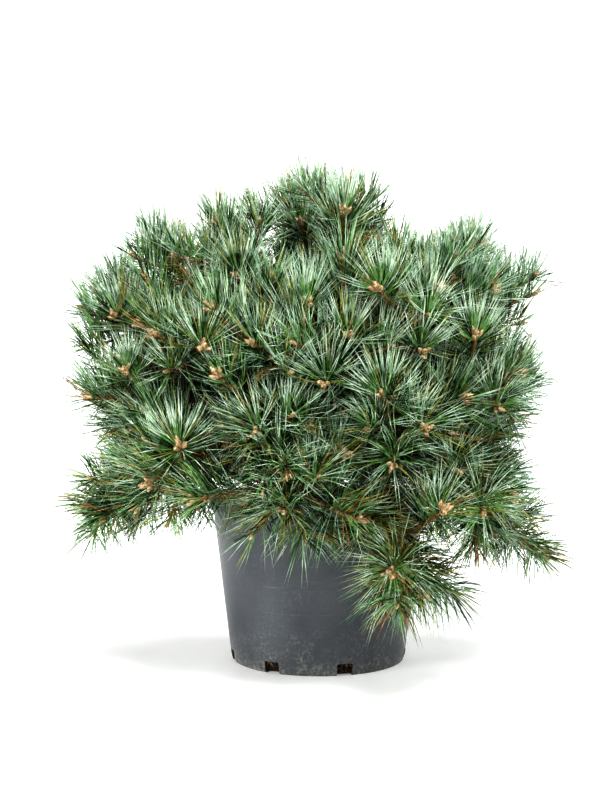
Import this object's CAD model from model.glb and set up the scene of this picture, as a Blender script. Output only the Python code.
import math
import random

import bmesh
import bpy
import numpy as np
from mathutils import Matrix, Vector, noise


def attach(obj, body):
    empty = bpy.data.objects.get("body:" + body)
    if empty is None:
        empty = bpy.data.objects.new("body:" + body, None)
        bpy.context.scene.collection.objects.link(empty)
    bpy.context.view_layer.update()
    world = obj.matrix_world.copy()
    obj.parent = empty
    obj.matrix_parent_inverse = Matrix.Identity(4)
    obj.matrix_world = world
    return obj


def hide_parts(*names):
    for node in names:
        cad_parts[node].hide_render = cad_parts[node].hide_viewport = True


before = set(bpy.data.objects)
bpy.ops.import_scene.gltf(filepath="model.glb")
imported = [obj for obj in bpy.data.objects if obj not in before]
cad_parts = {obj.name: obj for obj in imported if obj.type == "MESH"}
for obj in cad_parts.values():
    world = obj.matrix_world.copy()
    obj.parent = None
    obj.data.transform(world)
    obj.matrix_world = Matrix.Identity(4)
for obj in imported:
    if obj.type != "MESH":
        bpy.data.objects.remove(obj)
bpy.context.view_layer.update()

# The stand: a round white photo bay, its floor curving up into the wall. The main light hangs in
# front and above, a weak one stands on each side, a narrow one is aimed at the pot, and one washes
# the wall. The paper glows a little, as if lit from below. The plant is seen level, from 1.3 m.
view_distance = 1.30
view_height = 0.289
view_aside = -0.0203
camera_data = bpy.data.cameras.new("front_camera")
camera_data.sensor_fit = "VERTICAL"
camera_data.sensor_height = 36.0
camera_data.lens = 51.9
camera_data.clip_start = 0.01
camera = bpy.data.objects.new("front_camera", camera_data)
camera.location = (view_aside, -view_distance, view_height)
camera.rotation_euler = (math.radians(90), 0.0, 0.0)
bpy.context.scene.collection.objects.link(camera)
bpy.context.scene.camera = camera
bpy.context.scene.view_settings.view_transform = "Standard"
bpy.context.scene.view_settings.look = "Very High Contrast"
bpy.context.scene.view_settings.exposure = -0.4


def new_surface(name):
    """A material with its Principled shader, ready for nodes."""
    surface = bpy.data.materials.new(name)
    surface.use_nodes = True
    return surface, surface.node_tree.nodes["Principled BSDF"]


def put_in_scene(name, mesh, surface, smooth=True):
    obj = bpy.data.objects.new(name, mesh)
    mesh.materials.append(surface)
    if smooth:
        mesh.shade_smooth()
    bpy.context.scene.collection.objects.link(obj)
    return obj


bay_paper, bay_shader = new_surface("bay_paper")
bay_tree = bay_paper.node_tree
bay_place = bay_tree.nodes.new("ShaderNodeTexCoord")
bay_height = bay_tree.nodes.new("ShaderNodeSeparateXYZ")
bay_tree.links.new(bay_place.outputs["Object"], bay_height.inputs[0])
bay_white = bay_tree.nodes.new("ShaderNodeMapRange")
bay_white.inputs["From Max"].default_value = 0.30
bay_white.inputs["To Min"].default_value = 0.93
bay_white.inputs["To Max"].default_value = 0.80
bay_tree.links.new(bay_height.outputs["Z"], bay_white.inputs["Value"])
bay_tree.links.new(bay_white.outputs[0], bay_shader.inputs["Base Color"])
bay_shader.inputs["Emission Color"].default_value = (1.0, 1.0, 1.0, 1.0)
bay_shader.inputs["Emission Strength"].default_value = 0.22
bay_shader.inputs["Roughness"].default_value = 0.9
bay_outline = [(0.0, 0.0), (1.0, 0.0), (3.4, 0.0)]
for i in range(1, 13):
    bend = math.radians(90 * i / 12)
    bay_outline.append((3.4 + 1.0 * math.sin(bend), 1.0 - 1.0 * math.cos(bend)))
bay_outline.append((4.4, 3.2))
bay_mesh = bpy.data.meshes.new("white_bay")
bay_mesh.from_pydata([(x, 0.0, z) for x, z in bay_outline], [(i, i + 1) for i in range(len(bay_outline) - 1)], [])
bay = put_in_scene("white_bay", bay_mesh, bay_paper)
bay_turn = bay.modifiers.new("Turn", "SCREW")
bay_turn.steps = 64
bay_turn.render_steps = 64
bay_turn.use_merge_vertices = True
bay_turn.merge_threshold = 0.001
bay_turn.use_smooth_shade = True

room_light = bpy.data.worlds.new("room_light")
room_light.use_nodes = True
room_light.node_tree.nodes["Background"].inputs["Color"].default_value = (1.0, 1.0, 1.0, 1.0)
room_light.node_tree.nodes["Background"].inputs["Strength"].default_value = 0.06
bpy.context.scene.world = room_light
for name, place, aim, size, power, spread in (
    ("key_light", (0.20, -1.4, 1.9), (0.0, 0.0, 0.25), 0.45, 50.0, 180),
    ("right_light", (1.8, -0.9, 1.3), (0.0, 0.0, 0.30), 1.2, 14.0, 180),
    ("left_light", (-1.7, -1.2, 0.6), (0.0, 0.0, 0.20), 0.9, 9.0, 180),
    ("pot_light", (-1.00, -0.75, 0.10), (0.0, 0.0, 0.04), 0.3, 0.42, 30),
    ("wall_light", (0.0, 1.5, 2.6), (0.0, 4.0, 0.5), 1.8, 120.0, 180),
):
    lamp = bpy.data.lights.new(name, "AREA")
    lamp.energy = power
    lamp.spread = math.radians(spread)
    lamp.size = size
    lamp_object = bpy.data.objects.new(name, lamp)
    lamp_object.location = place
    lamp_object.rotation_euler = (Vector(aim) - Vector(place)).to_track_quat("-Z", "Y").to_euler()
    bpy.context.scene.collection.objects.link(lamp_object)

# The pot: a round nursery pot injection-moulded in one shot of charcoal plastic, with a stepped
# collar, a thin wall, and drain slots that wrap from the foot of the wall under the base. It is
# dusty from the growing bed, most of all towards its foot.
pot_height = 0.184
rim_radius = 0.1235
collar_height = 0.016
wall_top_radius = 0.1172
base_radius = 0.0967
wall = 0.0015
slot_width = 0.017
slot_height = 0.013
slot_reach_under = 0.011
slot_azimuths = (-166, -121, -74, -10, 36, 82, 128)


def lerp(a, b, share):
    return a + (b - a) * share


def polar(azimuth, reach, height):
    turn = math.radians(azimuth)
    return Vector((reach * math.cos(turn), reach * math.sin(turn), height))


def rounded(outline, radius, steps=4):
    """An outline with its inner corners eased by short arcs."""
    points = [Vector(p) for p in outline]
    result = [points[0]]
    for before, corner, after in zip(points, points[1:], points[2:]):
        back = before - corner
        ahead = after - corner
        cut = min(radius, back.length * 0.45, ahead.length * 0.45)
        a = corner + back.normalized() * cut
        b = corner + ahead.normalized() * cut
        for i in range(steps + 1):
            t = i / steps
            result.append(a * (1 - t) ** 2 + corner * 2 * t * (1 - t) + b * t * t)
    result.append(points[-1])
    return result


def turned(name, outline, steps):
    """A closed shape turned about the pot's axis."""
    mesh = bpy.data.meshes.new(name)
    mesh.from_pydata([(x, 0.0, z) for x, z in outline], [(i, i + 1) for i in range(len(outline) - 1)], [])
    obj = bpy.data.objects.new(name, mesh)
    bpy.context.scene.collection.objects.link(obj)
    screw = obj.modifiers.new("Turn", "SCREW")
    screw.steps = steps
    screw.render_steps = steps
    screw.use_merge_vertices = True
    screw.merge_threshold = 0.00002
    return obj


def applied(obj):
    """The object's mesh with its modifiers applied; the object itself is removed."""
    graph = bpy.context.evaluated_depsgraph_get()
    mesh = bpy.data.meshes.new_from_object(obj.evaluated_get(graph))
    bpy.data.objects.remove(obj)
    return mesh


def wall_radius(height):
    return lerp(base_radius, wall_top_radius, height / (pot_height - collar_height))


ledge = pot_height - collar_height
pot_outline = rounded((
    (0.0, wall),
    (wall_radius(0.0) - wall - 0.0012, wall),
    (wall_radius(0.004) - wall, 0.0040),
    (wall_top_radius - wall - 0.0002, ledge - 0.0030),
    (rim_radius - 0.0020 - wall, ledge + 0.0010),
    (rim_radius - 0.0006 - wall, pot_height - 0.0006),
    (rim_radius - 0.0012, pot_height),
    (rim_radius, pot_height - 0.0012),
    (rim_radius - 0.0003, pot_height - 0.0040),
    (rim_radius - 0.0012, ledge + 0.0008),
    (rim_radius - 0.0020, ledge - 0.0002),
    (wall_top_radius + 0.0002, ledge - 0.0022),
    (wall_radius(0.006), 0.0060),
    (wall_radius(0.0) - 0.0006, 0.0012),
    (wall_radius(0.0) - 0.0020, 0.0),
    (0.0, 0.0),
), 0.0012)
pot_piece = turned("pot_shell", pot_outline, 160)
slot_cutters = []
for azimuth in slot_azimuths:
    box = bmesh.new()
    bmesh.ops.create_cube(box, size=1.0)
    bmesh.ops.scale(box, vec=(0.020, slot_width, slot_height + 0.004), verts=box.verts)
    upright = [e for e in box.edges if abs(e.verts[0].co.x - e.verts[1].co.x) > 0.01]
    bmesh.ops.bevel(box, geom=upright, offset=0.0018, segments=3, affect="EDGES", profile=0.5)
    slot_mesh = bpy.data.meshes.new("slot")
    box.to_mesh(slot_mesh)
    box.free()
    cutter = bpy.data.objects.new("slot", slot_mesh)
    cutter.location = polar(azimuth, base_radius - slot_reach_under + 0.010, (slot_height - 0.004) / 2)
    cutter.rotation_euler = (0.0, 0.0, math.radians(azimuth))
    bpy.context.scene.collection.objects.link(cutter)
    slot_cutters.append(cutter)
    cut = pot_piece.modifiers.new("Slot", "BOOLEAN")
    cut.operation = "DIFFERENCE"
    cut.solver = "EXACT"
    cut.object = cutter
pot_mesh = applied(pot_piece)
for cutter in slot_cutters:
    bpy.data.objects.remove(cutter)


def effect_group(name, inputs, outputs):
    """A shader node group with its named sockets."""
    group = bpy.data.node_groups.new(name, "ShaderNodeTree")
    for label, kind, value in inputs:
        socket = group.interface.new_socket(label, in_out="INPUT", socket_type=kind)
        socket.default_value = value
    for label, kind in outputs:
        group.interface.new_socket(label, in_out="OUTPUT", socket_type=kind)
    return group, group.nodes.new("NodeGroupInput"), group.nodes.new("NodeGroupOutput")


def noise_node(tree, scale, detail=4.0, roughness=0.55, distortion=0.0):
    node = tree.nodes.new("ShaderNodeTexNoise")
    node.inputs["Scale"].default_value = scale
    node.inputs["Detail"].default_value = detail
    node.inputs["Roughness"].default_value = roughness
    node.inputs["Distortion"].default_value = distortion
    return node


def ramp_node(tree, stops):
    node = tree.nodes.new("ShaderNodeValToRGB")
    ramp = node.color_ramp
    while len(ramp.elements) < len(stops):
        ramp.elements.new(0.5)
    for element, (place, colour) in zip(ramp.elements, stops):
        element.position = place
        element.color = (*colour, 1.0)
    return node


def blended(tree, share, first, second):
    """One colour mixed into another; each is a colour or a socket. Gives the mixed socket."""
    node = tree.nodes.new("ShaderNodeMix")
    node.data_type = "RGBA"
    for socket, value in ((node.inputs[0], share), (node.inputs[6], first), (node.inputs[7], second)):
        if isinstance(value, bpy.types.NodeSocket):
            tree.links.new(value, socket)
        else:
            socket.default_value = value if isinstance(value, float) else (*value, 1.0)
    return node.outputs[2]


dust, dust_in, dust_out = effect_group(
    "settled_dust",
    (("Clean", "NodeSocketColor", (0.05, 0.05, 0.05, 1.0)),
     ("Dust", "NodeSocketColor", (0.30, 0.29, 0.27, 1.0)),
     ("Low", "NodeSocketFloat", 0.0),
     ("High", "NodeSocketFloat", 0.12),
     ("Amount", "NodeSocketFloat", 0.5)),
    (("Color", "NodeSocketColor"), ("Mask", "NodeSocketFloat")),
)
where = dust.nodes.new("ShaderNodeTexCoord")
height_of = dust.nodes.new("ShaderNodeSeparateXYZ")
dust.links.new(where.outputs["Object"], height_of.inputs[0])
fade = dust.nodes.new("ShaderNodeMapRange")
fade.inputs["To Min"].default_value = 1.0
fade.inputs["To Max"].default_value = 0.0
dust.links.new(height_of.outputs["Z"], fade.inputs["Value"])
dust.links.new(dust_in.outputs["Low"], fade.inputs["From Min"])
dust.links.new(dust_in.outputs["High"], fade.inputs["From Max"])
specks = noise_node(dust, 300.0, 6.0, 0.75)
patches = noise_node(dust, 42.0, 5.0, 0.65)
for node in (specks, patches):
    dust.links.new(where.outputs["Object"], node.inputs["Vector"])
speck_mask = dust.nodes.new("ShaderNodeMapRange")
speck_mask.inputs["From Min"].default_value = 0.47
speck_mask.inputs["From Max"].default_value = 0.72
dust.links.new(specks.outputs["Fac"], speck_mask.inputs["Value"])
patch_mask = dust.nodes.new("ShaderNodeMapRange")
patch_mask.inputs["From Min"].default_value = 0.38
patch_mask.inputs["From Max"].default_value = 0.62
dust.links.new(patches.outputs["Fac"], patch_mask.inputs["Value"])
both = dust.nodes.new("ShaderNodeMath")
both.operation = "MULTIPLY_ADD"
both.inputs[2].default_value = 0.05
dust.links.new(speck_mask.outputs[0], both.inputs[0])
dust.links.new(patch_mask.outputs[0], both.inputs[1])
graded = dust.nodes.new("ShaderNodeMath")
graded.operation = "MULTIPLY"
dust.links.new(both.outputs[0], graded.inputs[0])
dust.links.new(fade.outputs[0], graded.inputs[1])
scaled = dust.nodes.new("ShaderNodeMath")
scaled.operation = "MULTIPLY"
scaled.use_clamp = True
dust.links.new(graded.outputs[0], scaled.inputs[0])
dust.links.new(dust_in.outputs["Amount"], scaled.inputs[1])
dusted = blended(dust, scaled.outputs[0], dust_in.outputs["Clean"], dust_in.outputs["Dust"])
dust.links.new(dusted, dust_out.inputs["Color"])
dust.links.new(scaled.outputs[0], dust_out.inputs["Mask"])

pot_plastic, pot_shader = new_surface("pot_plastic")
tree = pot_plastic.node_tree
object_space = tree.nodes.new("ShaderNodeTexCoord")
flow = noise_node(tree, 9.0, 3.0, 0.5, 0.4)
tree.links.new(object_space.outputs["Object"], flow.inputs["Vector"])
charcoal = ramp_node(tree, ((0.35, (0.044, 0.049, 0.056)), (0.65, (0.068, 0.075, 0.084))))
tree.links.new(flow.outputs["Fac"], charcoal.inputs["Fac"])
# A thin film of dust up the wall, then the dried splashes and grit on its foot
coat = charcoal.outputs["Color"]
for high, amount, tint in ((0.60, 0.30, (0.22, 0.225, 0.23)), (0.050, 1.3, (0.22, 0.22, 0.21)), (0.016, 1.2, (0.30, 0.275, 0.235))):
    settled = tree.nodes.new("ShaderNodeGroup")
    settled.node_tree = dust
    settled.inputs["Low"].default_value = 0.0
    settled.inputs["High"].default_value = high
    settled.inputs["Amount"].default_value = amount
    settled.inputs["Dust"].default_value = (*tint, 1.0)
    tree.links.new(coat, settled.inputs["Clean"])
    coat = settled.outputs["Color"]
stretched = tree.nodes.new("ShaderNodeMapping")
stretched.inputs["Scale"].default_value = (9.0, 9.0, 260.0)
tree.links.new(object_space.outputs["Object"], stretched.inputs["Vector"])
scuffs = noise_node(tree, 1.6, 6.0, 0.7)
tree.links.new(stretched.outputs["Vector"], scuffs.inputs["Vector"])
scuff_mask = tree.nodes.new("ShaderNodeMapRange")
scuff_mask.inputs["From Min"].default_value = 0.60
scuff_mask.inputs["From Max"].default_value = 0.78
scuff_mask.inputs["To Max"].default_value = 0.45
tree.links.new(scuffs.outputs["Fac"], scuff_mask.inputs["Value"])
tree.links.new(blended(tree, scuff_mask.outputs[0], coat, (0.20, 0.205, 0.21)), pot_shader.inputs["Base Color"])
fine = noise_node(tree, 900.0, 3.0, 0.6)
tree.links.new(object_space.outputs["Object"], fine.inputs["Vector"])
rough = tree.nodes.new("ShaderNodeMapRange")
rough.inputs["To Min"].default_value = 0.30
rough.inputs["To Max"].default_value = 0.44
tree.links.new(flow.outputs["Fac"], rough.inputs["Value"])
tree.links.new(rough.outputs[0], pot_shader.inputs["Roughness"])
skin = tree.nodes.new("ShaderNodeBump")
skin.inputs["Strength"].default_value = 0.12
skin.inputs["Distance"].default_value = 0.0004
tree.links.new(fine.outputs["Fac"], skin.inputs["Height"])
tree.links.new(skin.outputs["Normal"], pot_shader.inputs["Normal"])
pot_shell = put_in_scene("pot_shell", pot_mesh, pot_plastic)
pot_mesh.set_sharp_from_angle(angle=math.radians(35))
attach(pot_shell, "root")
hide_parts("pot")


# The soil: the peat and bark mix of the root ball, which fills the pot to just under its collar,
# crumbly on top, with fine roots run through it that show in the drain slots.
soil_top = 0.1665
gap = 0.0003


def crumbly(point, size, depth):
    """How far the loose surface stands out at a point."""
    coarse = noise.noise(point / size)
    return depth * (coarse + 0.5 * noise.noise(point / size * 2.7 + Vector((7, 3, 5))))


soil_fit = wall_top_radius - wall - 0.0014
soil_outline = [(0.0, soil_top)]
soil_outline += [(0.0025 * i, soil_top - 0.0026 * (0.0025 * i / soil_fit) ** 2) for i in range(1, 45)]
soil_outline += [(soil_fit - 0.0022, soil_top - 0.0032), (soil_fit - 0.0008, soil_top - 0.0045)]
soil_base = base_radius - wall - gap
soil_outline += [
    (lerp(soil_base, soil_fit, h / soil_top) - 0.0006, h) for h in [soil_top - 0.0045 - 0.0055 * i for i in range(1, 29)]
]
soil_outline += [(soil_base - 0.0012, 0.0040), (soil_base - 0.0030, wall + gap), (0.0, wall + gap)]
soil_mesh = applied(turned("soil", soil_outline, 150))
for vertex in soil_mesh.vertices:
    x, y, z = vertex.co
    reach = math.hypot(x, y)
    if z > soil_top - 0.006 and 0.002 < reach < soil_fit - 0.003:
        vertex.co.z = z + min(0.0014, crumbly(vertex.co, 0.0045, 0.0016))
    elif 0.004 < z < 0.03 and reach > 0.05:
        inward = 1.0 - 0.0011 * (0.6 + noise.noise(vertex.co / 0.003)) / reach
        vertex.co.x = x * inward
        vertex.co.y = y * inward
rng = random.Random(5)
crumbs = bmesh.new()
for i in range(1500):
    reach = (soil_fit - 0.006) * math.sqrt(rng.random())
    place = polar(rng.uniform(0, 360), reach, soil_top - 0.0022 * (reach / soil_fit) ** 2 + 0.0004)
    size = rng.uniform(0.0009, 0.0030)
    made = bmesh.ops.create_icosphere(crumbs, subdivisions=1, radius=size)["verts"]
    squash = Vector((rng.uniform(0.6, 1.5), rng.uniform(0.6, 1.0), rng.uniform(0.35, 0.7)))
    spin = Matrix.Rotation(rng.uniform(0, 6.28), 3, "Z") @ Matrix.Rotation(rng.uniform(-0.5, 0.5), 3, "X")
    for vertex in made:
        vertex.co = place + spin @ Vector(a * b for a, b in zip(vertex.co * rng.uniform(0.8, 1.2), squash))
for azimuth in slot_azimuths:
    for i in range(34):
        height = rng.uniform(0.0032, 0.0122)
        aside = rng.uniform(-0.0078, 0.0078)
        place = polar(azimuth + math.degrees(aside / soil_base), soil_base + 0.0002, height)
        size = rng.uniform(0.0006, 0.0014)
        for vertex in bmesh.ops.create_icosphere(crumbs, subdivisions=1, radius=size)["verts"]:
            vertex.co = place + vertex.co * rng.uniform(0.7, 1.25)
crumb_mesh = bpy.data.meshes.new("soil_crumbs")
crumbs.to_mesh(crumb_mesh)
crumbs.free()

peat, peat_shader = new_surface("peat")
tree = peat.node_tree
object_space = tree.nodes.new("ShaderNodeTexCoord")
grain = noise_node(tree, 330.0, 6.0, 0.7)
tree.links.new(object_space.outputs["Object"], grain.inputs["Vector"])
browns = ramp_node(tree, (
    (0.32, (0.004, 0.003, 0.003)), (0.48, (0.018, 0.012, 0.008)), (0.58, (0.080, 0.048, 0.027)), (0.68, (0.34, 0.26, 0.17)),
))
tree.links.new(grain.outputs["Fac"], browns.inputs["Fac"])
tree.links.new(browns.outputs["Color"], peat_shader.inputs["Base Color"])
peat_shader.inputs["Roughness"].default_value = 0.95
clods = tree.nodes.new("ShaderNodeBump")
clods.inputs["Strength"].default_value = 0.6
clods.inputs["Distance"].default_value = 0.0015
tree.links.new(grain.outputs["Fac"], clods.inputs["Height"])
tree.links.new(clods.outputs["Normal"], peat_shader.inputs["Normal"])
for name, mesh in (("soil_body", soil_mesh), ("soil_crumbs", crumb_mesh)):
    piece = put_in_scene(name, mesh, peat)
    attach(piece, "root")
    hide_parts("soil")

# The trunk and boughs: one short, leaning stem with a flared foot, and boughs that leave it all
# round. Its bark is orange-brown and flaky, in small scales that stand off the wood.
trunk_top = 0.330
trunk_lean = Vector((0.012, -0.006, 0.0))
trunk_radii = ((0.0, 0.0235), (0.05, 0.0195), (0.14, 0.0168), (0.45, 0.0140), (0.8, 0.0112), (1.0, 0.0088))
low_tip, high_tip = 0.10, 0.50
low_root, high_root = 0.194, 0.310
low_arch, high_arch = 0.094, -0.022
stagger = 0.005
bough_root_radius = 0.0050
bough_tip_radius = 0.0034
bough_share = 0.52
stem_radius = 0.0026


masses = (
    ("leader", -150, 0.045, 0.503, 4, 216),
    ("crown_front", -80, 0.140, 0.492, 3, 263),
    ("shoulder_front_left", -127, 0.174, 0.467, 3, 252),
    ("shoulder_left", -166, 0.192, 0.468, 3, 52),
    ("shoulder_right", -31, 0.193, 0.450, 3, 119),
    ("crown_back", 78, 0.120, 0.478, 3, 137),
    ("shoulder_back_left", 138, 0.190, 0.440, 3, 265),
    ("shoulder_back_right", 42, 0.200, 0.425, 3, 118),
    ("arm_right", -5, 0.240, 0.425, 3, 230),
    ("breast_right", -61, 0.226, 0.393, 3, 49),
    ("flank_left", -169, 0.256, 0.385, 3, 84),
    ("flank_front_left", -131, 0.242, 0.352, 3, 64),
    ("breast", -84, 0.240, 0.347, 3, 222),
    ("breast_left", -105, 0.242, 0.340, 3, 31),
    ("flank_right", -38, 0.250, 0.316, 4, 134),
    ("flank_back", 95, 0.235, 0.385, 3, 167),
    ("flank_back_right", 42, 0.245, 0.335, 3, 291),
    ("flank_back_left", 150, 0.248, 0.335, 3, 259),
    ("hip_left", -153, 0.261, 0.290, 3, 240),
    ("belly_left", -104, 0.249, 0.259, 4, 266),
    ("nose", -69, 0.260, 0.263, 4, 103),
    ("hip_back", 115, 0.250, 0.265, 3, 103),
    ("hip_side_right", 3, 0.216, 0.276, 4, 34),
    ("hip_side_left", 172, 0.210, 0.230, 4, 216),
    ("hip_front_left", -131, 0.250, 0.209, 3, 37),
    ("hip_right", -40, 0.243, 0.193, 4, 279),
    ("bib", -98, 0.247, 0.188, 4, 239),
    ("skirt_left", -168, 0.253, 0.172, 3, 138),
    ("skirt_back", 85, 0.250, 0.190, 3, 291),
    ("skirt_back_left", 145, 0.250, 0.170, 3, 45),
    ("skirt_back_right", 40, 0.250, 0.175, 3, 108),
    ("skirt_right", -12, 0.247, 0.118, 3, 234),
    ("skirt_front", -66, 0.234, 0.110, 4, 6),
)
# These grow from the trunk itself, with no bough of their own
from_trunk = (
    "leader", "crown_front", "shoulder_front_left", "shoulder_left",
    "shoulder_right", "crown_back", "shoulder_back_left", "shoulder_back_right", "hip_side_left",
)


def trunk_point(share):
    """A point on the trunk's axis: upright at its foot, leaning more towards its top."""
    height = lerp(soil_top + gap, trunk_top, share)
    return Vector((0.0, 0.0, height)) + trunk_lean * max(share - 0.05, 0.0) ** 1.5


def trunk_radius(share):
    for (low, wide), (high, narrow) in zip(trunk_radii, trunk_radii[1:]):
        if share <= high:
            return lerp(wide, narrow, (share - low) / (high - low))
    return trunk_radii[-1][1]


def limb_path(azimuth, reach, height, steps=24):
    """Points from the trunk's axis to an end bud, arching more on the low limbs."""
    level = (height - low_tip) / (high_tip - low_tip)
    root_height = lerp(low_root, high_root, level) - stagger * math.cos(math.radians(7 * azimuth))
    root = trunk_point((root_height - soil_top) / (trunk_top - soil_top))
    bud = polar(azimuth, reach, height)
    crest = root.lerp(bud, 0.5) + Vector((0.0, 0.0, lerp(low_arch, high_arch, level)))
    path = []
    for i in range(steps + 1):
        t = i / steps
        path.append(root * (1 - t) ** 2 + crest * 2 * t * (1 - t) + bud * t * t)
    return path


def cut_path(path, start, end):
    """The stretch of a path between two distances along it."""
    points = []
    travelled = 0.0
    for a, b in zip(path, path[1:]):
        step = (b - a).length
        for edge in (start, end):
            if travelled <= edge < travelled + step:
                points.append(a.lerp(b, (edge - travelled) / step))
        if start < travelled + step < end:
            points.append(b.copy())
        travelled += step
    if end >= travelled:
        points.append(path[-1].copy())
    return points


def path_length(path):
    return sum((b - a).length for a, b in zip(path, path[1:]))


def every_other(points, wanted):
    """A path thinned to the wanted number of points, both ends kept."""
    last = len(points) - 1
    return [points[round(i * last / (wanted - 1))] for i in range(wanted)]


def off_trunk(point):
    """Distance from a point to the bark, which is a little flatter between its edges."""
    share = max(0.0, min(1.0, (point.z - soil_top) / (trunk_top - soil_top)))
    axis = trunk_point(share)
    return math.hypot(point.x - axis.x, point.y - axis.y) - trunk_radius(share) * 0.985


def seat_on_trunk(path, radius, count):
    """How far along its path a limb's cut root just clears the bark."""
    length = path_length(path)
    low, high = 0.004, 0.045
    for i in range(20):
        middle = (low + high) / 2
        points = every_other(cut_path(path, middle, length), count)
        ahead = (points[1] - points[0]).normalized()
        across = ahead.orthogonal().normalized()
        edge = [points[0]]
        for turn in range(0, 360, 15):
            spoke = Matrix.Rotation(math.radians(turn), 3, ahead) @ across
            edge.append(points[0] + spoke * radius)
        if min(off_trunk(point) for point in edge) > gap:
            high = middle
        else:
            low = middle
    return high


class Space:
    """Segments that are already taken, each with its radius and its owner."""

    def __init__(self):
        self.starts = []
        self.ends = []
        self.radii = []
        self.owners = []

    def add(self, points, radius, owner):
        for a, b in zip(points, points[1:]):
            self.starts.append(tuple(a))
            self.ends.append(tuple(b))
            self.radii.append(radius)
            self.owners.append(owner)

    def distances(self, points):
        """From each point to each segment's surface."""
        starts = np.array(self.starts)
        along = np.array(self.ends) - starts
        offset = np.array([tuple(p) for p in points])[:, None, :] - starts[None, :, :]
        share = np.clip((offset * along).sum(2) / (along * along).sum(1), 0.0, 1.0)
        apart = offset - share[:, :, None] * along[None, :, :]
        return np.sqrt((apart * apart).sum(2)) - np.array(self.radii)


def plan_limbs(space):
    """Paths of the boughs and of the stem inside each mass."""
    boughs = {}
    stems = {}
    trunk = [trunk_point(i / 6) for i in range(7)]
    for a, b, share in zip(trunk, trunk[1:], range(6)):
        space.add([a, b], trunk_radius(share / 6), "trunk")
    for name, azimuth, reach, height, count, seed in masses:
        path = limb_path(azimuth, reach, height)
        if name == "leader":
            tip = trunk_point(1.0)
            lean = (tip - trunk_point(0.95)).normalized()
            bud = polar(azimuth, reach, height)
            tip += lean * (gap + stem_radius * 1.5 * math.sin(lean.angle(bud - tip)) * 0.6)
            bend = tip + lean * (bud - tip).length * 0.5
            path = []
            for i in range(25):
                t = i / 24
                path.append(tip * (1 - t) ** 2 + bend * 2 * t * (1 - t) + bud * t * t)
            stems[name] = path
        elif name in from_trunk:
            start = seat_on_trunk(path, stem_radius * 1.5, 5)
            stems[name] = cut_path(path, start, path_length(path))
        else:
            length = path_length(path)
            end = length * bough_share
            start = seat_on_trunk(cut_path(path, 0.0, end), bough_root_radius * 0.94, 5)
            boughs[name] = cut_path(path, start, end)
            stems[name] = cut_path(path, end + gap, length)
            space.add(every_other(boughs[name], 5), bough_root_radius, "bough_" + name)
    for name, path in stems.items():
        space.add(every_other(path, 4), stem_radius, name)
    return boughs, stems


def bark_tube(points, radii, sides, relief, scale):
    """A tapering limb as rings of points, its bark standing out by the given relief."""
    corners = []
    ahead = (points[1] - points[0]).normalized()
    across = ahead.orthogonal().normalized()
    for i, (point, radius) in enumerate(zip(points, radii)):
        onward = (points[min(i + 1, len(points) - 1)] - points[max(i - 1, 0)]).normalized()
        across = (across - onward * across.dot(onward)).normalized()
        beside = onward.cross(across)
        for k in range(sides):
            turn = 2 * math.pi * k / sides
            spoke = across * math.cos(turn) + beside * math.sin(turn)
            spot = point + spoke * radius
            flake = noise.cell(spot / scale) * 0.5 + noise.noise(spot / scale * 0.7) * 0.5
            corners.append(spot + spoke * relief * (flake - 0.5))
    faces = []
    for i in range(len(points) - 1):
        for k in range(sides):
            a = i * sides + k
            b = i * sides + (k + 1) % sides
            faces.append((a, b, b + sides, a + sides))
    faces.append(tuple(range(sides - 1, -1, -1)))
    faces.append(tuple(range(len(corners) - sides, len(corners))))
    return corners, faces


def joined(name, parts):
    """One mesh from several lists of corners and faces."""
    corners = []
    faces = []
    for part_corners, part_faces in parts:
        faces += [tuple(i + len(corners) for i in face) for face in part_faces]
        corners += part_corners
    mesh = bpy.data.meshes.new(name)
    mesh.from_pydata(corners, [], faces)
    mesh.validate()
    return mesh


flakes, flakes_in, flakes_out = effect_group(
    "bark_flakes",
    (("Scale", "NodeSocketFloat", 260.0),
     ("Fresh", "NodeSocketColor", (0.30, 0.13, 0.055, 1.0)),
     ("Old", "NodeSocketColor", (0.10, 0.05, 0.03, 1.0)),
     ("Grey", "NodeSocketColor", (0.22, 0.19, 0.16, 1.0))),
    (("Color", "NodeSocketColor"), ("Height", "NodeSocketFloat"), ("Roughness", "NodeSocketFloat")),
)
flake_place = flakes.nodes.new("ShaderNodeTexCoord")
plates = flakes.nodes.new("ShaderNodeTexVoronoi")
plates.feature = "DISTANCE_TO_EDGE"
grit = noise_node(flakes, 300.0, 6.0, 0.65)
flakes.links.new(flake_place.outputs["Object"], plates.inputs["Vector"])
flakes.links.new(flake_place.outputs["Object"], grit.inputs["Vector"])
flakes.links.new(flakes_in.outputs["Scale"], plates.inputs["Scale"])
flakes.links.new(flakes_in.outputs["Scale"], grit.inputs["Scale"])
edge_mask = flakes.nodes.new("ShaderNodeMapRange")
edge_mask.inputs["From Max"].default_value = 0.22
flakes.links.new(plates.outputs["Distance"], edge_mask.inputs["Value"])
patchy = flakes.nodes.new("ShaderNodeMapRange")
patchy.inputs["From Min"].default_value = 0.45
patchy.inputs["From Max"].default_value = 0.75
flakes.links.new(grit.outputs["Fac"], patchy.inputs["Value"])
plate_colour = blended(flakes, patchy.outputs[0], flakes_in.outputs["Fresh"], flakes_in.outputs["Grey"])
bark_colour = blended(flakes, edge_mask.outputs[0], flakes_in.outputs["Old"], plate_colour)
flakes.links.new(bark_colour, flakes_out.inputs["Color"])
raised = flakes.nodes.new("ShaderNodeMath")
raised.operation = "MULTIPLY_ADD"
raised.inputs[1].default_value = 0.6
flakes.links.new(edge_mask.outputs[0], raised.inputs[0])
flakes.links.new(grit.outputs["Fac"], raised.inputs[2])
flakes.links.new(raised.outputs[0], flakes_out.inputs["Height"])
dryness = flakes.nodes.new("ShaderNodeMapRange")
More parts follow.
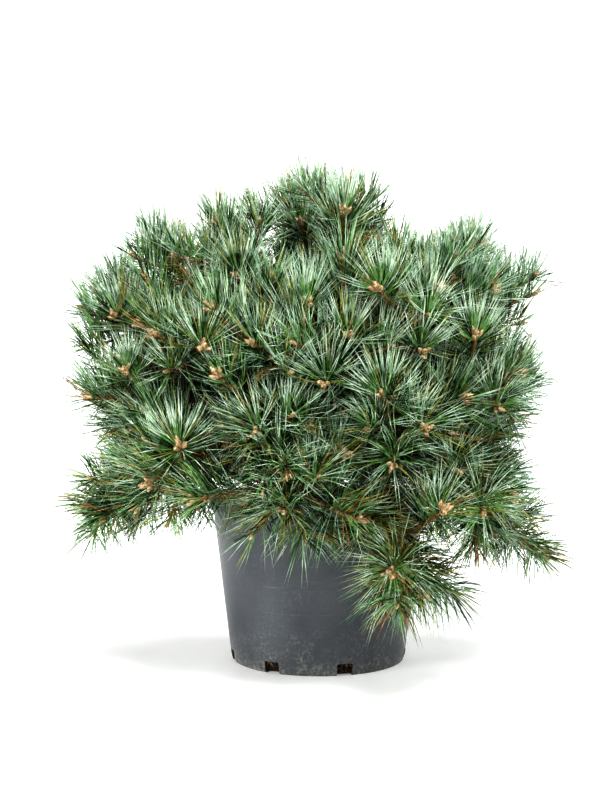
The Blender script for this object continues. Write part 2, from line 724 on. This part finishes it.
dryness.inputs["To Min"].default_value = 0.70
dryness.inputs["To Max"].default_value = 0.95
flakes.links.new(grit.outputs["Fac"], dryness.inputs["Value"])
flakes.links.new(dryness.outputs[0], flakes_out.inputs["Roughness"])


def bark_surface(name, scale, fresh, old, grey, relief):
    surface, shader = new_surface(name)
    tree = surface.node_tree
    scaly = tree.nodes.new("ShaderNodeGroup")
    scaly.node_tree = flakes
    scaly.inputs["Scale"].default_value = scale
    for label, colour in (("Fresh", fresh), ("Old", old), ("Grey", grey)):
        scaly.inputs[label].default_value = (*colour, 1.0)
    tree.links.new(scaly.outputs["Color"], shader.inputs["Base Color"])
    tree.links.new(scaly.outputs["Roughness"], shader.inputs["Roughness"])
    bump = tree.nodes.new("ShaderNodeBump")
    bump.inputs["Strength"].default_value = 0.8
    bump.inputs["Distance"].default_value = relief
    tree.links.new(scaly.outputs["Height"], bump.inputs["Height"])
    tree.links.new(bump.outputs["Normal"], shader.inputs["Normal"])
    return surface


trunk_bark = bark_surface("trunk_bark", 190.0, (0.22, 0.105, 0.055), (0.045, 0.026, 0.018), (0.19, 0.155, 0.125), 0.0012)
space = Space()
boughs, stems = plan_limbs(space)
trunk_points = [trunk_point(i / 110) for i in range(111)]
trunk_part = bark_tube(trunk_points, [trunk_radius(i / 110) - 0.0004 for i in range(111)], 72, 0.0013, 0.0042)
trunk_piece = put_in_scene("trunk_with_bark", joined("trunk_with_bark", [trunk_part]), trunk_bark)
bough_parts = []
for name, path in boughs.items():
    fine_path = cut_path(path, 0.0, path_length(path))
    count = len(fine_path)
    radii = [lerp(bough_root_radius, bough_tip_radius, i / (count - 1)) for i in range(count)]
    bough_parts.append(bark_tube(fine_path, radii, 12, 0.0010, 0.0030))
boughs_piece = put_in_scene("boughs_with_bark", joined("boughs_with_bark", bough_parts), trunk_bark)
for piece, nodes in ((trunk_piece, ["trunk"]), (boughs_piece, ["bough_" + name for name in boughs])):
    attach(piece, "root")
    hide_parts(*nodes)

# The masses: the year's shoots, each a scaly orange-brown twig that ends in a tan bud, clothed in
# pairs of stiff needles. The needles come off almost square below and lean forward near the bud,
# and all turn up a little to the light. They are waxy blue-green, fresh green at the heart.
shoot_radius = 0.0018
shoot_lengths = (0.070, 0.105)
shoot_spread = (34, 62)
shoot_lift = 0.014
golden_turn = 137.5
brush_lengths = (0.064, 0.052)
core_radius = 0.0062
shoot_room = 0.024


def side_shoot(path, along, rng, turn):
    """One shoot that leaves its stem at an angle and lifts towards its bud."""
    length = path_length(path)
    root = cut_path(path, length * along, length)[0]
    ahead = (cut_path(path, length * along, length * along + 0.012)[-1] - root).normalized()
    across = ahead.orthogonal().normalized()
    across.rotate(Matrix.Rotation(math.radians(turn), 3, ahead))
    spread = math.radians(rng.uniform(*shoot_spread))
    bud = root + (ahead * math.cos(spread) + across * math.sin(spread)) * rng.uniform(*shoot_lengths)
    return root, bud + Vector((0.0, 0.0, shoot_lift))


def in_bounds(point):
    """Inside the mound, and clear of the pot and of the soil."""
    reach = math.hypot(point.x, point.y)
    if reach < rim_radius + 0.012 and point.z < pot_height + 0.020:
        return False
    mound = (reach / 0.264) ** 2.4 + (max(point.z - 0.27, 0.0) / 0.262) ** 2.4
    return mound < 1.0 and point.z > 0.085


def mass_shoots(name, count, seed, path, space):
    """Side shoots of one mass: each keeps room round itself, or is tried again and then skipped."""
    rng = random.Random(seed)
    shoots = []
    first_turn = rng.uniform(0, 360)
    for i in range(count):
        for attempt in range(10):
            along = lerp(0.10, 0.72, (i + rng.uniform(-0.3, 0.3) + 0.5) / count)
            turn = first_turn + i * golden_turn + rng.uniform(-40, 40)
            root, bud = side_shoot(path, along, rng, turn)
            base = bud - (bud - root).normalized() * brush_lengths[1]
            if not in_bounds(bud) or not in_bounds(base):
                continue
            room = space.distances([base.lerp(bud, s) for s in (0.1, 0.4, 0.7, 1.0)])
            own = np.array([owner == name for owner in space.owners])
            if room[:, ~own].min() < shoot_room or room[2:, own].min() < shoot_room or room[0, own].min() < 0.006:
                continue
            way = space.distances([root.lerp(base, s) for s in (0.3, 0.7, 1.0)])
            if way[:, ~own].min() < 0.007:
                continue
            shoots.append((name, base, bud, root))
            space.add([root, base], shoot_radius, name)
            space.add([base, bud], core_radius, name)
            break
    return shoots


def plan_shoots(stems, space):
    """Every brush of needles: the end of each stem first, then the side shoots mass by mass."""
    brushes = []
    for name, path in stems.items():
        length = path_length(path)
        tip = cut_path(path, length - brush_lengths[0], length)
        brushes.append((name, tip[0], tip[-1], None))
        space.add([tip[0], tip[-1]], core_radius, name)
    for name, azimuth, reach, height, count, seed in masses:
        brushes += mass_shoots(name, count, seed, stems[name], space)
    return brushes
finer_lengths = (0.046, 0.082)
finer_room = 0.0165
finer_count = 4
# One for each mass, in their order
finer_seeds = (
    24, 26, 27, 77, 48, 19, 59, 93, 88, 68, 57,
    50, 43, 41, 101, 42, 99, 52, 6, 28, 104, 17,
    68, 35, 62, 5, 18, 14, 97, 19, 68, 84, 89,
)


def finer_shoots(name, count, seed, path, space):
    """Weaker shoots that fill in between the side shoots of a mass, on its stem and within its reach."""
    rng = random.Random(seed)
    shoots = []
    first_turn = rng.uniform(0, 360)
    for i in range(count):
        for attempt in range(10):
            along = rng.uniform(0.12, 0.90)
            root, far = side_shoot(path, along, rng, first_turn + i * golden_turn + rng.uniform(-50, 50))
            way = far - root
            bud = root + way.normalized() * rng.uniform(*finer_lengths)
            base = root.lerp(bud, 0.22)
            if not in_bounds(bud) or not in_bounds(base):
                continue
            room = space.distances([base.lerp(bud, s) for s in (0.1, 0.4, 0.7, 1.0)])
            own = np.array([owner == name for owner in space.owners])
            if room[:, ~own].min() < finer_room or room[2:, own].min() < finer_room or room[0, own].min() < 0.004:
                continue
            shoots.append((name, base, bud, root))
            space.add([root, base], shoot_radius * 0.8, name)
            space.add([base, bud], core_radius, name)
            break
    return shoots


main_shoots = plan_shoots(stems, space)
fine_shoots = []
for (name, azimuth, reach, height, count, seed), finer_seed in zip(masses, finer_seeds):
    fine_shoots += finer_shoots(name, finer_count, finer_seed, stems[name], space)
shoots = [(*shoot, True) for shoot in main_shoots] + [(*shoot, False) for shoot in fine_shoots]

twig_parts = []
for name, path in stems.items():
    count = len(path)
    radii = [lerp(stem_radius * 1.5, shoot_radius * 1.2, (i / (count - 1)) ** 0.8) for i in range(count)]
    twig_parts.append(bark_tube(path, radii, 8, 0.0009, 0.0020))
for name, base, bud, root, strong in shoots:
    if root is None:
        continue
    thick = shoot_radius * (1.55 if strong else 1.15)
    bow = (bud - root).length * 0.045
    path = []
    for i in range(37):
        t = i / 36
        path.append(root.lerp(bud, t) - Vector((0, 0, bow * 4 * t * (1 - t))))
    twig_parts.append(bark_tube(path, [lerp(thick, thick * 0.85, i / 36) for i in range(37)], 7, 0.0009, 0.0020))
twig_bark = bark_surface("twig_bark", 520.0, (0.44, 0.260, 0.115), (0.095, 0.050, 0.026), (0.42, 0.310, 0.190), 0.0008)
twigs_piece = put_in_scene("twigs", joined("twigs", twig_parts), twig_bark)
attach(twigs_piece, "root")
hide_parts(*stems)


def bud_shape(place, way, length, width, turn):
    """One resinous bud: a pointed egg of overlapping scales."""
    across = way.orthogonal().normalized()
    beside = way.cross(across)
    corners = []
    rings = 6
    for i in range(rings):
        t = i / (rings - 1)
        radius = width / 2 * (math.sin(math.pi * min(0.96, 0.22 + 0.74 * t)) ** 0.8) * (1.0 + (0.16 if i % 2 else -0.05))
        for k in range(7):
            angle = turn + 2 * math.pi * (k + 0.5 * (i % 2)) / 7
            spoke = across * math.cos(angle) + beside * math.sin(angle)
            corners.append(place + way * length * t + spoke * radius)
    faces = [(i * 7 + k, i * 7 + (k + 1) % 7, i * 7 + 7 + (k + 1) % 7, i * 7 + 7 + k) for i in range(rings - 1) for k in range(7)]
    faces.append(tuple(range(6, -1, -1)))
    faces.append(tuple(range(7 * rings - 7, 7 * rings)))
    return corners, faces


rng = random.Random(77)
bud_parts = []
for name, base, bud, root, strong in shoots:
    way = (bud - base).normalized()
    way = (way + Vector((0, 0, 0.25))).normalized()
    size = rng.uniform(0.85, 1.25) if strong else rng.uniform(0.6, 0.85)
    turn = rng.uniform(0, 6.28)
    bud_parts.append(bud_shape(bud - way * 0.001, way, 0.0125 * size, 0.0056 * size, turn))
    for k in range(rng.choice((1, 2, 3, 4)) if strong else 0):
        side = way.orthogonal().normalized()
        side.rotate(Matrix.Rotation(turn + k * 2.2, 3, way))
        lean = (way + side * 0.55).normalized()
        bud_parts.append(bud_shape(bud - way * 0.001 + side * 0.0018, lean, 0.0100 * size, 0.0044 * size, turn + k))
bud_scales, bud_shader = new_surface("bud_scales")
tree = bud_scales.node_tree
object_space = tree.nodes.new("ShaderNodeTexCoord")
mottle = noise_node(tree, 420.0, 4.0, 0.6)
tree.links.new(object_space.outputs["Object"], mottle.inputs["Vector"])
tans = ramp_node(tree, ((0.34, (0.150, 0.085, 0.042)), (0.50, (0.420, 0.300, 0.170)), (0.66, (0.66, 0.54, 0.370))))
tree.links.new(mottle.outputs["Fac"], tans.inputs["Fac"])
tree.links.new(tans.outputs["Color"], bud_shader.inputs["Base Color"])
bud_shader.inputs["Roughness"].default_value = 0.5
buds_piece = put_in_scene("buds", joined("buds", bud_parts), bud_scales)
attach(buds_piece, "root")
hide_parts(*stems)

needle_length = 0.064
needle_width = 0.00114
needle_spread = (82, 40)
needle_turn_up = 0.55
needle_stray = 11.0


def needles_on(base, bud, count, length, spread, seed, share=(0.04, 0.99), up=needle_turn_up, droop=0.0):
    """Needles of one shoot as three points each: in the bark, half way, and the tip; with how far along they stand
    and the number of their pair."""
    chance = np.random.default_rng(seed)
    base = np.array(base)
    axis = np.array(bud) - base
    size = np.linalg.norm(axis)
    ahead = axis / size
    across = np.cross(ahead, (0.0, 0.0, 1.0) if abs(ahead[2]) < 0.9 else (1.0, 0.0, 0.0))
    across /= np.linalg.norm(across)
    beside = np.cross(ahead, across)
    pair = np.arange(count) // 2
    pairs = count // 2 + 1
    along = share[0] + (share[1] - share[0]) * (pair + 0.5) / (count / 2)
    stray = chance.normal(0, needle_stray, (2, pairs))[:, pair] + chance.normal(0, 3.0, (2, count))
    turn = np.radians(pair * golden_turn + np.where(np.arange(count) % 2, 5.0, -5.0) + stray[0])
    radial = np.outer(np.cos(turn), across) + np.outer(np.sin(turn), beside)
    lean = np.radians(spread[0] + (spread[1] - spread[0]) * along ** 1.2 + stray[1])
    way = ahead * np.cos(lean)[:, None] + radial * np.sin(lean)[:, None]
    lift = np.zeros((count, 3))
    lift[:, 2] = (up * chance.uniform(0.3, 1.7, pairs) - droop * chance.uniform(0.2, 1.0, pairs))[pair]
    way += lift
    way /= np.linalg.norm(way, axis=1)[:, None]
    onward = way + ahead * 0.12 + lift * 0.25 + chance.normal(0, 0.07, (count, 3))
    onward[:, 2] -= 0.10
    onward /= np.linalg.norm(onward, axis=1)[:, None]
    long = length * chance.uniform(0.80, 1.06, pairs)[pair] * (0.86 + 0.14 * np.minimum(along * 3, 1)) * (1 - 0.14 * along ** 4)
    kept = chance.random(pairs)[pair] < 0.60 + 0.40 * radial[:, 2]
    start = base + np.outer(along, axis) + radial * 0.0010
    middle = start + way * (long * 0.45)[:, None]
    tip = middle + onward * (long * 0.55)[:, None]
    return np.stack((start, middle, tip), axis=1)[kept], along[kept], pair[kept]


def needle_mesh(name, lines, inward, kinds, width):
    """Three-sided needles that taper to a point, as one mesh: one side of each faces the shoot, and
    kinds gives the surface number of each side, at the foot and then at the tip."""
    count = len(lines)
    chance = np.random.default_rng(count)
    way = lines[:, 2] - lines[:, 0]
    way /= np.linalg.norm(way, axis=1)[:, None]
    toward = inward + chance.normal(0, 0.30, (count, 3))
    second = np.cross(way, toward)
    second /= np.linalg.norm(second, axis=1)[:, None]
    first = np.cross(second, way)
    corners = np.empty((count, 7, 3))
    half = width / 2 * chance.uniform(0.85, 1.15, count)
    for k in range(3):
        angle = 2 * math.pi * (k - 0.5) / 3
        spoke = (first * math.cos(angle) + second * math.sin(angle)) * half[:, None]
        corners[:, k] = lines[:, 0] + spoke * 0.70
        corners[:, 3 + k] = lines[:, 1] + spoke
    corners[:, 6] = lines[:, 2]
    quads = np.array([(k, (k + 1) % 3, 3 + (k + 1) % 3, 3 + k) for k in range(3)]).ravel()
    points = np.array([(3 + k, 3 + (k + 1) % 3, 6) for k in range(3)]).ravel()
    pattern = np.concatenate((quads, points))
    loops = (pattern[None, :] + 7 * np.arange(count)[:, None]).ravel()
    sizes = np.tile(np.array((4, 4, 4, 3, 3, 3)), count)
    starts = np.concatenate(((0,), np.cumsum(sizes)[:-1]))
    mesh = bpy.data.meshes.new(name)
    mesh.vertices.add(count * 7)
    mesh.vertices.foreach_set("co", corners.astype(np.float32).ravel())
    mesh.loops.add(len(loops))
    mesh.loops.foreach_set("vertex_index", loops.astype(np.int32))
    mesh.polygons.add(len(sizes))
    mesh.polygons.foreach_set("loop_start", starts.astype(np.int32))
    mesh.update(calc_edges=True)
    mesh.polygons.foreach_set("material_index", kinds.ravel().astype(np.int32))
    return mesh


wax, wax_in, wax_out = effect_group(
    "needle_wax",
    (("Green", "NodeSocketColor", (0.10, 0.20, 0.12, 1.0)),
     ("Wax", "NodeSocketColor", (0.30, 0.42, 0.36, 1.0)),
     ("Amount", "NodeSocketFloat", 0.5)),
    (("Color", "NodeSocketColor"), ("Roughness", "NodeSocketFloat")),
)
wax_place = wax.nodes.new("ShaderNodeTexCoord")
streak = noise_node(wax, 120.0, 1.0, 0.5)
wax.links.new(wax_place.outputs["Object"], streak.inputs["Vector"])
bloom = wax.nodes.new("ShaderNodeMapRange")
bloom.inputs["From Min"].default_value = 0.36
bloom.inputs["From Max"].default_value = 0.66
wax.links.new(streak.outputs["Fac"], bloom.inputs["Value"])
waxy = wax.nodes.new("ShaderNodeMath")
waxy.operation = "MULTIPLY"
wax.links.new(bloom.outputs[0], waxy.inputs[0])
wax.links.new(wax_in.outputs["Amount"], waxy.inputs[1])
wax.links.new(blended(wax, waxy.outputs[0], wax_in.outputs["Green"], wax_in.outputs["Wax"]), wax_out.inputs["Color"])
sheen = wax.nodes.new("ShaderNodeMapRange")
sheen.inputs["To Min"].default_value = 0.28
sheen.inputs["To Max"].default_value = 0.50
wax.links.new(streak.outputs["Fac"], sheen.inputs["Value"])
wax.links.new(sheen.outputs[0], wax_out.inputs["Roughness"])
needle_surfaces = []
for name, green, bloom_colour, amount, gloss in (
    ("pale_needles", (0.260, 0.350, 0.240), (0.570, 0.670, 0.550), 0.90, 0.26),
    ("blue_needles", (0.120, 0.205, 0.125), (0.325, 0.455, 0.335), 0.90, 0.18),
    ("deep_needles", (0.020, 0.044, 0.016), (0.060, 0.110, 0.052), 0.85, 0.06),
    ("fresh_needles", (0.125, 0.250, 0.080), (0.290, 0.470, 0.200), 0.85, 0.18),
    ("olive_needles", (0.150, 0.160, 0.040), (0.430, 0.410, 0.150), 0.75, 0.08),
    ("dry_needles", (0.170, 0.090, 0.036), (0.520, 0.330, 0.160), 0.75, 0.06),
):
    surface, shader = new_surface(name)
    waxed = surface.node_tree.nodes.new("ShaderNodeGroup")
    waxed.node_tree = wax
    waxed.inputs["Green"].default_value = (*green, 1.0)
    waxed.inputs["Wax"].default_value = (*bloom_colour, 1.0)
    waxed.inputs["Amount"].default_value = amount
    surface.node_tree.links.new(waxed.outputs["Color"], shader.inputs["Base Color"])
    surface.node_tree.links.new(waxed.outputs["Roughness"], shader.inputs["Roughness"])
    shader.inputs["Specular IOR Level"].default_value = gloss
    needle_surfaces.append(surface)
pale, blue, deep, fresh, olive, dry = range(6)
# Surfaces of the inner side and of the two outer sides, at the foot of a needle and at its tip
frosted, waxy_blue, shaded, young, old, dead = range(6)
needle_sides = np.array((
    (fresh, blue, blue, pale, pale, blue),
    (pale, blue, deep, pale, blue, blue),
    (deep, deep, deep, blue, deep, deep),
    (fresh, fresh, fresh, pale, fresh, blue),
    (olive, fresh, olive, olive, olive, deep),
    (dry, dry, dry, dry, dry, olive),
))

spray_lines = {name: [] for name in stems}
spray_inward = {name: [] for name in stems}
spray_kinds = {name: [] for name in stems}


def add_spray(name, lines, a, b, kinds):
    axis = np.array(b) - np.array(a)
    spray_lines[name].append(lines)
    spray_inward[name].append(np.tile(axis / np.linalg.norm(axis), (len(lines), 1)))
    spray_kinds[name].append(kinds)


for number, (name, base, bud, root, strong) in enumerate(shoots):
    chance = np.random.default_rng(9000 + number)
    length = needle_length if strong else needle_length * 0.88
    up = lerp(-0.30, 0.70, max(0.0, min(1.0, (bud.z - 0.08) / 0.26)))
    lines, along, pair = needles_on(base, bud, 224 if strong else 146, length, needle_spread, 100 + number, (0.16, 0.99), up)
    depth = 1.0 - (math.hypot(bud.x, bud.y) / 0.264) ** 2.4 - (max(bud.z - 0.27, 0.0) / 0.262) ** 2.4
    inner = max(0.0, min(1.0, depth / 0.8))
    sunny = 0.7 * bud.x + 1.3 * (bud.z - 0.36) + 1.6 * (math.hypot(bud.x, bud.z - 0.30) - 0.16)
    bloomed = max(0.0, min(1.0, 0.7 * chance.random() + 0.15 + sunny))
    low = max(0.0, min(1.0, (0.24 - bud.z) / 0.10))
    light = ((0.14 + 0.44 * bloomed) * (1 - 0.8 * inner), 0.30 * (1 - 0.6 * inner))
    kinds = chance.choice((frosted, waxy_blue, shaded), 112, p=(*light, 1 - sum(light)))[pair]
    kinds[(along > 0.45) & (chance.random(112)[pair] < (0.58 - 0.30 * bloomed) * (1 - 0.7 * inner))] = young
    kinds[chance.random(112)[pair] < 0.04 + 0.06 * (1 - bloomed) + 0.12 * inner + 0.09 * low] = old
    kinds[chance.random(112)[pair] < 0.02 + 0.04 * low] = dead
    add_spray(name, lines, base, bud, kinds)
    if root is not None and (base - root).length > 0.012:
        lines, along, pair = needles_on(root, base, 30 - int(14 * low), needle_length * 0.9, (70, 55), 5000 + number, (0.15, 1.0), 0.1, 0.2)
        add_spray(name, lines, root, base, chance.choice((old, shaded, dead), 112, p=(0.40, 0.32, 0.28))[pair])
for number, (name, path) in enumerate(stems.items()):
    length = path_length(path)
    stretch = boughs.get(name, [])[4:] + cut_path(path, 0.0, length - brush_lengths[0])
    pieces = every_other(stretch, 9)
    for k, (a, b) in enumerate(zip(pieces, pieces[1:])):
        count = 170 if k < 5 else 84
        lines, along, pair = needles_on(a, b, count, needle_length * 0.95, (80, 60), 7000 + 10 * number + k, (0.0, 1.0), 0.1, 0.3)
        kinds = np.random.default_rng(number * 7 + k).choice((old, shaded, dead), 112, p=(0.14, 0.66, 0.20))[pair]
        add_spray(name, lines, a, b, kinds)

for tier in range(6):
    names = [row[0] for row in masses[tier * len(masses) // 6:(tier + 1) * len(masses) // 6]]
    lines = np.concatenate([l for name in names for l in spray_lines[name]])
    inward = np.concatenate([i for name in names for i in spray_inward[name]])
    kinds = np.concatenate([k for name in names for k in spray_kinds[name]])
    reach = np.hypot(lines[..., 0], lines[..., 1])
    clear = (lines[..., 2] > 0.003).all(1)
    clear &= ~((reach < rim_radius + 0.003) & (lines[..., 2] < pot_height + 0.002)).any(1)
    mesh = needle_mesh("needles_%d" % (tier + 1), lines[clear], inward[clear], needle_sides[kinds[clear]], needle_width)
    piece = put_in_scene("needles_%d" % (tier + 1), mesh, needle_surfaces[0])
    for surface in needle_surfaces[1:]:
        mesh.materials.append(surface)
    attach(piece, "root")
    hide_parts(*names)
